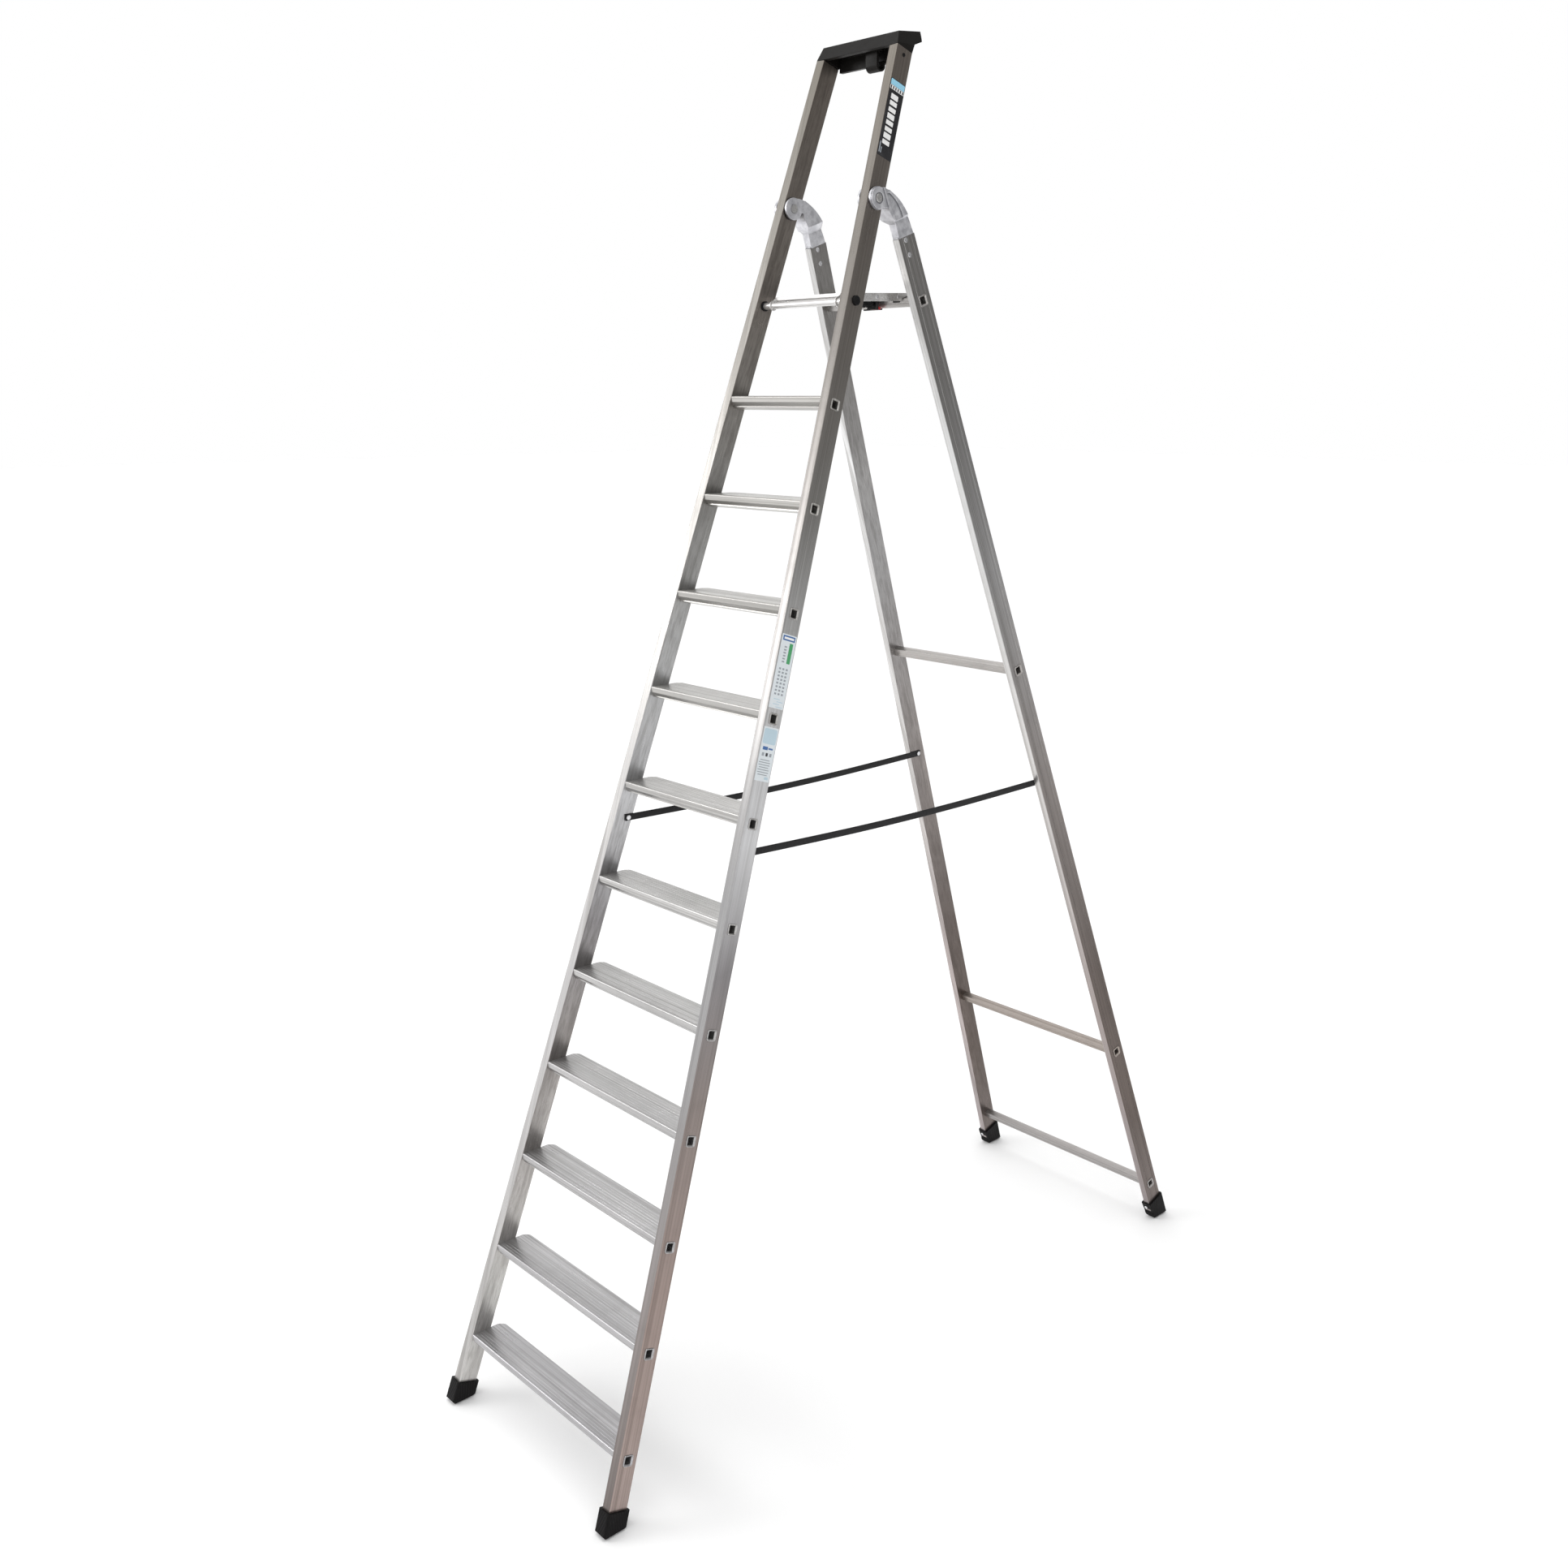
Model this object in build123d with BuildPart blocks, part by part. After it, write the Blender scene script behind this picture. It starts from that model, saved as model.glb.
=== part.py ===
from build123d import *
import math
import os

# Orchard ladder: a splayed two-stile climbing frame, a hinged rear frame, a folding platform and a
# tool tray. Millimetres. +X is a climber's right hand, +Y runs from the climbing side to the rear
# legs and +Z is up. The origin is on the floor, midway between the outermost points of the feet.

platform_y = -161.06
platform_z = 2770.0
front_lean = 18.29
front_spread = 0.0625
front_half = 173.9
front_width = 27.0
front_depth = 53.0
wall = 2.0
tread_pitch = 250.0
tread_count = 11
tread_tube = 21.0
tread_top = 20.5
tread_nose = -21.1
tread_back = 71.8
corner_radius = 28.0
stile_top = 607.0
stile_bottom = -2898.0
front_foot_rim = -2868.0
hook_at = 28.0

rear_lean = 19.84
rear_spread = 0.0656
rear_half = 159.3
rear_y = 152.0
rear_z = 3000.0
rear_width = 21.0
rear_depth = 58.0
rear_tube = 21.0
rear_top = -79.3
rear_bottom = -3155.0
rear_foot_rim = -3125.0
rear_bar_heights = (2779.0, 1834.0, 620.0, 127.0)

pin_up = 246.0
pin_back = 1.0
pin_radius = 6.0
cheek_radius = 26.5
cheek_out = (161.0, 167.0)
cheek_in = (124.0, 130.0)
arm_offset = 68.7
arm_drop = 27.75

platform_half = 117.0
platform_slope = 2.29
platform_length = 262.0
axle_radius = 6.0
tube_radius = 8.5
running = 0.05

strap_width = 17.5
strap_thick = 1.6
strap_sag = 10.0
strap_gap = 2.4


def upright(x, y, z, lean, spread):
    """Plane on a stile's outer face: X outwards, Y rearwards across the section, Z up the stile."""
    turn = math.radians(lean)
    taper = math.atan(spread * math.cos(turn))
    up = (-math.sin(taper), math.cos(taper) * math.sin(turn), math.cos(taper) * math.cos(turn))
    out = (math.cos(taper), math.sin(taper) * math.sin(turn), math.sin(taper) * math.cos(turn))
    return Plane(origin=(x, y, z), x_dir=out, z_dir=up)


def side(x, y, z, lean=0.0):
    """Plane facing +X: local X rearwards and local Y up, both turned by lean."""
    turn = math.radians(lean)
    return Plane(origin=(x, y, z), x_dir=(0, math.cos(turn), -math.sin(turn)), z_dir=(1, 0, 0))


def facing(frame, across, back, up, inwards=False):
    """Plane parallel to a stile's outer face, its normal outwards or inwards."""
    spot = frame.from_local_coords((across, back, up))
    normal = frame.x_dir * -1 if inwards else frame.x_dir
    return Plane(origin=spot, x_dir=frame.y_dir, z_dir=normal)


front = upright(front_half, platform_y, platform_z, front_lean, front_spread)
rear = upright(rear_half, platform_y + rear_y, rear_z, -rear_lean, rear_spread)
pin = front.from_local_coords((0, pin_back, pin_up))
front_inner_x = pin.X - front_width / math.cos(math.atan(front_spread * math.cos(math.radians(front_lean))))


def outer_point(frame, slope, z):
    """Point on a stile's outer centreline at height z."""
    along = (z - frame.origin.Z) / frame.z_dir.Z
    return frame.from_local_coords((0, 0, along))


def save(part, name):
    part.label = name
    export_step(part, "parts/" + name + ".step")


def save_pair(part, stem):
    """Write the right-hand piece and its mirror image."""
    other = mirror(part, about=Plane.YZ)
    save(part, stem + "_right")
    save(other, stem + "_left")


def joined(parts):
    """Several loose solids that share one node."""
    solids = []
    for part in parts:
        solids.extend(part.solids())
    return Compound(children=solids)


def both_sides(parts):
    return parts + [mirror(part, about=Plane.YZ) for part in parts]


def rivet(plane, head_radius, head_height, shank_radius, length):
    """A domed head standing on the plane, with a shank behind it."""
    with BuildPart() as one:
        with BuildSketch(plane):
            Circle(head_radius)
        extrude(amount=head_height)
        fillet(one.faces().sort_by(Axis(plane.origin, plane.z_dir))[-1].edges(), head_height * 0.6)
        with BuildSketch(plane):
            Circle(shank_radius)
        extrude(amount=-length)
    return one.part


# ---------------------------------------------------------------- climbing frame


def front_stile():
    with BuildPart() as stile:
        with BuildSketch(front.offset(stile_bottom)):
            with Locations((-front_width / 2, 0)):
                RectangleRounded(front_width, front_depth, 2)
                Rectangle(front_width - 2 * wall, front_depth - 2 * wall - 1, mode=Mode.SUBTRACT)
        extrude(amount=stile_top - stile_bottom)
        for step in range(1, tread_count + 1):
            spot = front.from_local_coords((0, 0, -tread_pitch * (tread_count + 1 - step)))
            with BuildSketch(side(spot.X - 60, spot.Y, spot.Z, front_lean)):
                Rectangle(tread_tube + 0.2, tread_tube + 0.2)
            extrude(amount=120, mode=Mode.SUBTRACT)
        with BuildSketch(side(front_half - 60, platform_y, platform_z)):
            Circle(axle_radius)
        extrude(amount=120, mode=Mode.SUBTRACT)
        with BuildSketch(side(pin.X - 60, pin.Y, pin.Z)):
            Circle(pin_radius + 3)
        extrude(amount=120, mode=Mode.SUBTRACT)
        with BuildSketch(facing(front, -front_width, 12, -1324.5)):
            Circle(3)
        extrude(amount=wall + 1, mode=Mode.SUBTRACT)
        with BuildSketch(facing(front, 0, 0, stile_top - 16, inwards=True)):
            Circle(2.5)
        extrude(amount=wall + 1, mode=Mode.SUBTRACT)
    return stile.part


def tread(step):
    along = -tread_pitch * (tread_count + 1 - step)
    spot = front.from_local_coords((0, 0, along))
    outline = [
        (tread_nose, tread_top),
        (tread_nose, 6),
        (tread_nose + 6.5, -2.6),
        (tread_nose + 13, -2.6),
        (tread_nose + 13, -0.4),
        (tread_nose + 7.8, -0.4),
        (tread_nose + 2.2, 6.8),
        (tread_nose + 2.2, tread_top - 5),
        (tread_nose + 5, tread_top - 2.2),
        (tread_back - 5, tread_top - 2.2),
        (tread_back - 2.2, tread_top - 5),
        (tread_back - 2.2, 9.7),
        (tread_back - 9, 9.7),
        (tread_back - 9, 7.5),
        (tread_back, 7.5),
        (tread_back, tread_top),
    ]
    inner = spot.X - front_width - 0.6
    with BuildPart() as board:
        with BuildSketch(side(0, spot.Y, spot.Z)):
            with BuildLine():
                Polyline(outline, close=True)
            make_face()
            fillet(vertices().group_by(Axis.Y)[-1], 4)
            with Locations((-6, 12), (6, 12)):
                Rectangle(2.2, 14)
            with Locations((40, 8.5)):
                Rectangle(2.2, 20)
            with Locations((20, 0)):
                Rectangle(42, 2.2)
            for groove in range(10):
                with Locations((tread_nose + 8 + 8.5 * groove, tread_top)):
                    Rectangle(1.3, 1.0, mode=Mode.SUBTRACT)
        extrude(amount=spot.X + 6)
        with BuildSketch(Plane.XY.offset(spot.Z - 30)):
            with Locations((inner + 40 - corner_radius, spot.Y + tread_back + 40 - corner_radius)):
                Rectangle(80, 80)
            with Locations((inner - corner_radius, spot.Y + tread_back - corner_radius)):
                Circle(corner_radius, mode=Mode.SUBTRACT)
        extrude(amount=60, mode=Mode.SUBTRACT)
        with BuildSketch(front.offset(along - 70)):
            with Locations((-front_width + 40, 30)):
                Rectangle(80, 260)
        extrude(amount=140, mode=Mode.SUBTRACT)
        with BuildSketch(side(0, spot.Y, spot.Z, front_lean)):
            Rectangle(tread_tube, tread_tube)
        extrude(amount=spot.X + 1)
        with BuildSketch(facing(front, 0, 0, along)):
            RectangleRounded(28, 28, 6)
        extrude(amount=2.2, taper=22)
        with BuildSketch(side(0, spot.Y, spot.Z, front_lean)):
            Rectangle(tread_tube - 3.2, tread_tube - 3.2)
        extrude(amount=spot.X + 12, mode=Mode.SUBTRACT)
        with BuildSketch(facing(front, 2.2, 0, along)):
            RectangleRounded(22.6, 22.6, 3.5)
        extrude(amount=-3.1, taper=37, mode=Mode.SUBTRACT)
        mirror(about=Plane.YZ)
    return board.part


def foot(frame, width, depth, end, rim, sole_front, sole_back, turn):
    """Moulded cap on a stile's end, with a rounded sole that stands flat on the floor."""
    with BuildPart() as cap:
        with BuildSketch(frame.offset(end - 70)):
            with Locations((-width / 2, 0)):
                RectangleRounded(width + 13, depth + 12, 6)
        extrude(amount=rim - end + 70)
        rise = 300 * math.tan(math.radians(turn))
        outline = [
            (sole_front, 0),
            (sole_back, 0),
            (sole_back + 8, 3.5),
            (sole_back + 14, 10),
            (sole_back + 16, 19),
            (sole_back + 60 + rise, 300),
            (sole_front - 60 + rise, 300),
            (sole_front - 12, 21),
            (sole_front - 10, 11),
            (sole_front - 5, 3.5),
        ]
        with BuildSketch(side(150, 0, 0)):
            with BuildLine():
                Polyline(outline, close=True)
            make_face()
        extrude(amount=300, mode=Mode.INTERSECT)
        centre = frame.origin.X - frame.z_dir.X / frame.z_dir.Z * frame.origin.Z - width / 2
        half = (width + 13) / 2
        slope = frame.z_dir.X / frame.z_dir.Z
        across = [
            (centre + half - 7, 0),
            (centre + half - 3.4, 1.8),
            (centre + half - 1, 5.4),
            (centre + half, 10),
            (centre + half + 40 + 300 * slope, 300),
            (centre - half - 40 + 300 * slope, 300),
            (centre - half, 10),
            (centre - half + 1, 5.4),
            (centre - half + 3.4, 1.8),
            (centre - half + 7, 0),
        ]
        with BuildSketch(Plane.XZ.offset(-1500)):
            with BuildLine():
                Polyline(across, close=True)
            make_face()
        extrude(amount=3000, mode=Mode.INTERSECT)
        with BuildSketch(frame.offset(end)):
            with Locations((-width / 2, 0)):
                RectangleRounded(width, depth, 2)
        extrude(amount=200, mode=Mode.SUBTRACT)
    return cap.part


def tray():
    base = stile_top
    low_front = front.from_local_coords((0, -front_depth / 2, base))
    low_back = front.from_local_coords((0, front_depth / 2, base))
    half = front.from_local_coords((0, 0, base)).X
    back = platform_y + 257
    top = 3384.0
    outline = [
        (low_front.Y, low_front.Z),
        (low_back.Y, low_back.Z),
        (low_back.Y + 9, 3358),
        (back, 3370),
        (back, top + 9),
        (low_front.Y + 14, top),
    ]
    with BuildPart() as body:
        with BuildSketch(Plane.XY.offset(3320)):
            with BuildLine():
                edge = Polyline((0, low_front.Y - 5), (half - 1.2, low_front.Y - 5), (half - 1.2, back - 11))
                turn = ThreePointArc(edge @ 1, (half - 4, back - 5), (half - 10, back - 2.5))
                rim = ThreePointArc(turn @ 1, (half / 2, back - 0.6), (0, back))
                Line(rim @ 1, (0, low_front.Y - 5))
            make_face()
        extrude(amount=90)
        with BuildSketch(side(0, 0, 0)):
            with BuildLine():
                Polyline(outline, close=True)
            make_face()
        extrude(amount=200, mode=Mode.INTERSECT)
        with BuildSketch(front.offset(base - 60)):
            with Locations((-front_width / 2, 40)):
                Rectangle(front_width + 60, 200)
        extrude(amount=60, mode=Mode.SUBTRACT)
        with BuildSketch(Plane.XY.offset(3366)):
            with BuildLine():
                edge = Polyline((0, low_front.Y + 18), (half - 13, low_front.Y + 18), (half - 13, back - 15))
                turn = ThreePointArc(edge @ 1, (half - 16, back - 9), (half - 22, back - 7))
                rim = ThreePointArc(turn @ 1, (half / 2, back - 5), (0, back - 4.2))
                Line(rim @ 1, (0, low_front.Y + 18))
            make_face()
        extrude(amount=30, mode=Mode.SUBTRACT)
        with BuildSketch(side(0, 0, 0)):
            with BuildLine():
                Polyline(
                    [
                        (low_front.Y + 4, 3320),
                        (low_front.Y + 9.5, 3361.5),
                        (back + 10, 3361.5),
                        (back + 10, 3320),
                    ],
                    close=True,
                )
            make_face()
        extrude(amount=half - front_width - 2, mode=Mode.SUBTRACT)
        with BuildSketch(side(0, 0, 0)):
            with Locations((low_back.Y + 8, 3347)):
                Rectangle(3, 34)
            with Locations((low_back.Y + 12, 3331)):
                Rectangle(11, 2.4)
        extrude(amount=half - front_width + 4)
        with BuildSketch(side(0, 0, 0)):
            with BuildLine():
                Polyline((back - 36, 3366), (back - 36, 3364), (back - 4, 3368), (back - 4, 3377), close=True)
            make_face()
        extrude(amount=half - 12)
        with BuildSketch(Plane.XZ.offset(-low_front.Y)):
            with BuildLine():
                Polyline((half + 4, 3352), (half + 4, 3400), (half - 15, 3400), (half - 1, 3356), close=True)
            make_face()
        extrude(amount=-200, mode=Mode.SUBTRACT)
        with BuildSketch(front.offset(base - 32)):
            with Locations((-front_width / 2, 0)):
                Rectangle(front_width - 2 * wall - 0.2, front_depth - 2 * wall - 1.2)
        extrude(amount=40)
        with BuildSketch(facing(front, 0, 0, base - 16, inwards=True)):
            Circle(2.5)
        extrude(amount=14, mode=Mode.SUBTRACT)
        mirror(about=Plane.YZ)
        with BuildSketch(Plane.XY.offset(3350)):
            with Locations((hook_at - 11, platform_y + 200), (hook_at + 11, platform_y + 200)):
                Circle(1.9)
        extrude(amount=40, mode=Mode.SUBTRACT)
        with BuildSketch(Plane.XY.offset(3355)):
            for place in (-88, -60, 74):
                with Locations((place, platform_y + 238)):
                    SlotOverall(22, 7)
        extrude(amount=20, mode=Mode.SUBTRACT)
    return body.part


def bucket_hook():
    where = platform_y + 191
    with BuildPart() as hook:
        with BuildSketch(side(hook_at - 19, where, 0)):
            with Locations((7, 3359.25)):
                Rectangle(26, 4.5)
            with Locations((0, 3342)):
                Rectangle(5, 39)
            with Locations((12, 3324)):
                Circle(14.5)
                Circle(9.5, mode=Mode.SUBTRACT)
            with Locations((13, 3335)):
                Rectangle(20, 22, mode=Mode.SUBTRACT)
            with Locations((24, 3328)):
                Rectangle(5, 9)
            with Locations((24, 3332.5)):
                Circle(2.5)
        extrude(amount=38)
        with BuildSketch(Plane.XY.offset(3350)):
            with Locations((hook_at - 11, platform_y + 200), (hook_at + 11, platform_y + 200)):
                Circle(1.9)
        extrude(amount=20, mode=Mode.SUBTRACT)
    return hook.part


def hook_screws():
    screws = []
    for place in (hook_at - 11, hook_at + 11):
        seat = Plane(origin=(place, platform_y + 200, 3366), z_dir=(0, 0, 1))
        screws.append(rivet(seat, 4, 1.6, 1.9, 9.5))
    return joined(screws)


def hinge_bush():
    with BuildPart() as bush:
        with BuildSketch(side(cheek_in[1] + running, pin.Y, pin.Z)):
            Circle(13)
        extrude(amount=cheek_out[0] - cheek_in[1] - 2 * running)
        with BuildSketch(front.offset(pin_up - 40)):
            with Locations((-front_width / 2, 0)):
                Rectangle(front_width, 200)
        extrude(amount=80, mode=Mode.SUBTRACT)
        with BuildSketch(side(cheek_in[1] + running, pin.Y, pin.Z)):
            Circle(pin_radius + 3)
        extrude(amount=cheek_out[0] - cheek_in[1] - 2 * running)
        with BuildSketch(side(cheek_in[1] - 5, pin.Y, pin.Z)):
            Circle(pin_radius + running)
        extrude(amount=60, mode=Mode.SUBTRACT)
    return bush.part


def platform_bush():
    with BuildPart() as bush:
        with BuildSketch(side(143.55, platform_y, platform_z)):
            Circle(12)
        extrude(amount=6)
        with BuildSketch(front.offset(-30)):
            with Locations((-front_width / 2, 0)):
                Rectangle(front_width, 100)
        extrude(amount=60, mode=Mode.SUBTRACT)
        with BuildSketch(side(140, platform_y, platform_z)):
            Circle(axle_radius)
        extrude(amount=60, mode=Mode.SUBTRACT)
    return bush.part


def axle_cap():
    with BuildPart() as cap:
        with BuildSketch(facing(front, 0, 0, 0)):
            RegularPolygon(12.5, 8)
        extrude(amount=5.5, taper=12)
        fillet(cap.faces().sort_by(Axis(front.origin, front.x_dir))[-1].edges(), 1.5)
        with BuildSketch(side(160, platform_y, platform_z)):
            Circle(axle_radius)
        extrude(amount=front_half + 2 - 160, mode=Mode.SUBTRACT)
    return cap.part


def platform_axle():
    with BuildPart() as axle:
        with BuildSketch(side(-front_half - 2, platform_y, platform_z)):
            Circle(axle_radius)
        extrude(amount=2 * front_half + 4)
    return axle.part


def strap():
    """Flat webbing between the inner faces of a climbing stile and a rear stile."""
    near = front.from_local_coords((-front_width - strap_gap, 12, -1324.5))
    far = outer_point(rear, rear_spread, 1508.0) - rear.x_dir * (rear_width + strap_gap)
    run = Vector(far.X - near.X, far.Y - near.Y, 0)
    fall = far.Z - near.Z
    length = run.length
    plane = Plane(origin=near, x_dir=run, z_dir=run.cross(Vector(0, 0, 1)) * -1)
    up = 1 if plane.y_dir.Z > 0 else -1
    half = strap_width / 2
    with BuildPart() as web:
        with BuildSketch(plane):
            with BuildLine():
                top = ThreePointArc(
                    (0, up * half),
                    (length / 2, up * (half - strap_sag + fall / 2)),
                    (length, up * (half + fall)),
                )
                tail = Polyline(top @ 1, (length + 9, up * (half + fall)), (length + 9, up * (fall - half)))
                low = ThreePointArc(
                    (length, up * (fall - half)),
                    (length / 2, up * (-half - strap_sag + fall / 2)),
                    (0, up * -half),
                )
                Line(tail @ 1, low @ 0)
                Polyline(low @ 1, (-9, up * -half), (-9, up * half), top @ 0)
            make_face()
        extrude(amount=strap_thick / 2, both=True)
        with BuildSketch(facing(front, -front_width - 6, 12, -1324.5)):
            Circle(3)
        extrude(amount=12, mode=Mode.SUBTRACT)
        with BuildSketch(Plane(origin=far, x_dir=rear.y_dir, z_dir=rear.x_dir).offset(-6)):
            Circle(3)
        extrude(amount=12, mode=Mode.SUBTRACT)
    return web.part


def strap_rivet(frame, width, back, up):
    plane = facing(frame, -width - strap_gap - 1.6, back, up, inwards=True)
    return rivet(plane, 6.5, 2.2, 2.95, strap_gap + 1.6 + wall + 0.5)


def label(low, high, across):
    """A thin film on the right stile's outer face."""
    with BuildPart() as film:
        with BuildSketch(facing(front, 0, 0, (low + high) / 2)):
            RectangleRounded(across, high - low, 1.5)
        extrude(amount=0.25)
    return film.part


# ---------------------------------------------------------------- rear frame


def rear_stile():
    with BuildPart() as stile:
        with BuildSketch(rear.offset(rear_bottom)):
            with Locations((-rear_width / 2, 0)):
                RectangleRounded(rear_width, rear_depth, 2)
                Rectangle(rear_width - 2 * wall, rear_depth - 2 * wall, mode=Mode.SUBTRACT)
            with Locations((0, -15), (0, 15)):
                Rectangle(1.6, 2.4, mode=Mode.SUBTRACT)
        extrude(amount=rear_top - rear_bottom)
        for height in rear_bar_heights:
            spot = outer_point(rear, rear_spread, height)
            with BuildSketch(side(spot.X - 60, spot.Y, spot.Z, -rear_lean)):
                Rectangle(rear_tube + 0.2, rear_tube + 0.2)
            extrude(amount=120, mode=Mode.SUBTRACT)
        for drop in (115.3, 150.4):
            with BuildSketch(facing(rear, 5, -6, arm_drop - drop, inwards=True)):
                Circle(3.5)
            extrude(amount=rear_width + 10, mode=Mode.SUBTRACT)
        seat = outer_point(rear, rear_spread, 1508.0)
        with BuildSketch(Plane(origin=seat, x_dir=rear.y_dir, z_dir=rear.x_dir).offset(-rear_width - 1)):
            Circle(3)
        extrude(amount=wall + 2, mode=Mode.SUBTRACT)
        with BuildSketch(Plane(origin=rear.from_local_coords((-rear_width / 2, -rear_depth, -3138)), z_dir=rear.y_dir)):
            Circle(2.4)
        extrude(amount=rear_depth - 10, mode=Mode.SUBTRACT)
    return stile.part


def rear_bar(height):
    spot = outer_point(rear, rear_spread, height)
    with BuildPart() as bar:
        with BuildSketch(side(0, spot.Y, spot.Z, -rear_lean)):
            Rectangle(rear_tube, rear_tube)
        extrude(amount=spot.X - rear_width - 1.2)
        with BuildSketch(side(0, spot.Y, spot.Z, -rear_lean)):
            with Locations((-rear_tube / 2, 0), (0, rear_tube / 2), (0, -rear_tube / 2)):
                Rectangle(1.6, 1.6)
        extrude(amount=spot.X - rear_width - 3, mode=Mode.SUBTRACT)
        with BuildSketch(side(spot.X - rear_width - 4, spot.Y, spot.Z, -rear_lean)):
            Rectangle(rear_tube, rear_tube)
        extrude(amount=rear_width + 5)
        along = (height - rear.origin.Z) / rear.z_dir.Z
        with BuildSketch(facing(rear, 0, 0, along)):
            RectangleRounded(28, 28, 6)
        extrude(amount=2.2, taper=22)
        with BuildSketch(side(0, spot.Y, spot.Z, -rear_lean)):
            Rectangle(rear_tube - 3.2, rear_tube - 3.2)
        extrude(amount=spot.X + 12, mode=Mode.SUBTRACT)
        with BuildSketch(facing(rear, 2.2, 0, along)):
            RectangleRounded(22.6, 22.6, 3.5)
        extrude(amount=-3.1, taper=37, mode=Mode.SUBTRACT)
        mirror(about=Plane.YZ)
    return bar.part


def hinge_arm():
    def beside(x):
        return side(x, pin.Y, pin.Z, -rear_lean)

    with BuildPart() as arm:
        with BuildSketch(beside(cheek_in[0])):
            with BuildLine():
                edge = Polyline((42.5, 7.5), (35, 0), (27.5, -10), (27.5, -38), (34, -61), (43, -72), (43, -90))
                low = Line(edge @ 1, (92, -90))
                curve = ThreePointArc(low @ 1, (73, -30.4), (49, 0.5))
                Line(curve @ 1, edge @ 0)
            make_face()
        extrude(amount=cheek_out[1] - cheek_in[0])
        for span in (cheek_in, cheek_out):
            with BuildSketch(beside(span[0])):
                Circle(cheek_radius)
                with BuildLine():
                    top = Polyline((0, cheek_radius), (26, 17), (35, 11.4))
                    curve = ThreePointArc(top @ 1, (68, -22), (86, -62))
                    Polyline(curve @ 1, (43, -62), (43, -46), (30, -33), (27, -18), (0, -12), top @ 0)
                make_face()
            extrude(amount=span[1] - span[0])
        with BuildSketch(beside(cheek_in[1])):
            with BuildLine():
                Polyline((52, 30), (52, -8), (50, -55), (110, -58), (110, 30), close=True)
            make_face()
        extrude(amount=cheek_out[0] - cheek_in[1], mode=Mode.SUBTRACT)
        slant = Plane(origin=beside(0).from_local_coords((0, 0, 0)), x_dir=(1, 0, 0), z_dir=beside(0).x_dir)
        with BuildSketch(slant):
            with BuildLine():
                Polyline((110, 55), (124, 55), (144.4, 76), (144.4, 140), (110, 140), close=True)
            make_face()
        extrude(amount=200, mode=Mode.SUBTRACT)
        with BuildSketch(slant):
            with BuildLine():
                Polyline((180, 60), (168, 60), (163.2, 66), (163.2, 140), (180, 140), close=True)
            make_face()
        extrude(amount=200, mode=Mode.SUBTRACT)
        with BuildSketch(facing(rear, -rear_width, 0, 0)):
            with BuildLine():
                edge = Polyline((43 - arm_offset, arm_drop - 107), (43 - arm_offset, arm_drop - 64))
                top = Line(edge @ 1, (86.5 - arm_offset, arm_drop - 64))
                curve = ThreePointArc(top @ 1, (91 - arm_offset, arm_drop - 84), (94 - arm_offset, arm_drop - 107))
                Line(curve @ 1, edge @ 0)
            make_face()
        extrude(amount=rear_width)
        with BuildSketch(rear.offset(rear_top - 60)):
            with Locations((-rear_width / 2, 0)):
                Rectangle(rear_width - 2 * wall - 0.2, rear_depth - 2 * wall - 0.2)
        extrude(amount=64)
        with BuildSketch(beside(cheek_out[1])):
            Circle(25)
            with BuildLine():
                Polyline((0, 25), (19, 19), (23, -30), (8, -23.5), (0, -10), close=True)
            make_face()
        extrude(amount=3.5)
        with BuildSketch(beside(cheek_out[1])):
            with BuildLine():
                Polyline((19, 19.5), (24.5, 17), (30, -31), (23, -31.5), close=True)
            make_face()
        extrude(amount=5.5)
        with BuildSketch(beside(cheek_out[1] - 2.8)):
            with BuildLine():
                down = Polyline((33, 2), (34, -18), (41, -50), (47, -95), (66, -95))
                curve = ThreePointArc(down @ 1, (62.5, -34), (40, 1))
                Line(curve @ 1, down @ 0)
            make_face()
        extrude(amount=12, mode=Mode.SUBTRACT)
        with BuildSketch(beside(cheek_out[1] + 1.8)):
            Circle(13)
        extrude(amount=5, mode=Mode.SUBTRACT)
        with BuildSketch(beside(cheek_in[0] - 5)):
            Circle(pin_radius)
        extrude(amount=80, mode=Mode.SUBTRACT)
        for drop in (115.3, 150.4):
            with BuildSketch(facing(rear, 5, -6, arm_drop - drop, inwards=True)):
                Circle(3.5)
            extrude(amount=rear_width + 10, mode=Mode.SUBTRACT)
    return arm.part


def hinge_pin():
    with BuildPart() as shaft:
        with BuildSketch(side(cheek_in[0] - 2.2, pin.Y, pin.Z)):
            Circle(10)
        extrude(amount=2.2)
        with BuildSketch(side(cheek_in[0] - 2.2, pin.Y, pin.Z)):
            Circle(pin_radius)
        extrude(amount=cheek_out[1] - cheek_in[0] + 4.0 + 2.2)
        with BuildSketch(side(cheek_out[1] + 1.8, pin.Y, pin.Z)):
            Circle(10)
        extrude(amount=2.6)
        fillet(shaft.faces().sort_by(Axis.X)[-1].edges(), 1.4)
        with BuildSketch(side(cheek_out[1] + 3.6, pin.Y, pin.Z)):
            Circle(4)
        extrude(amount=2, mode=Mode.SUBTRACT)
    return shaft.part


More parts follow.
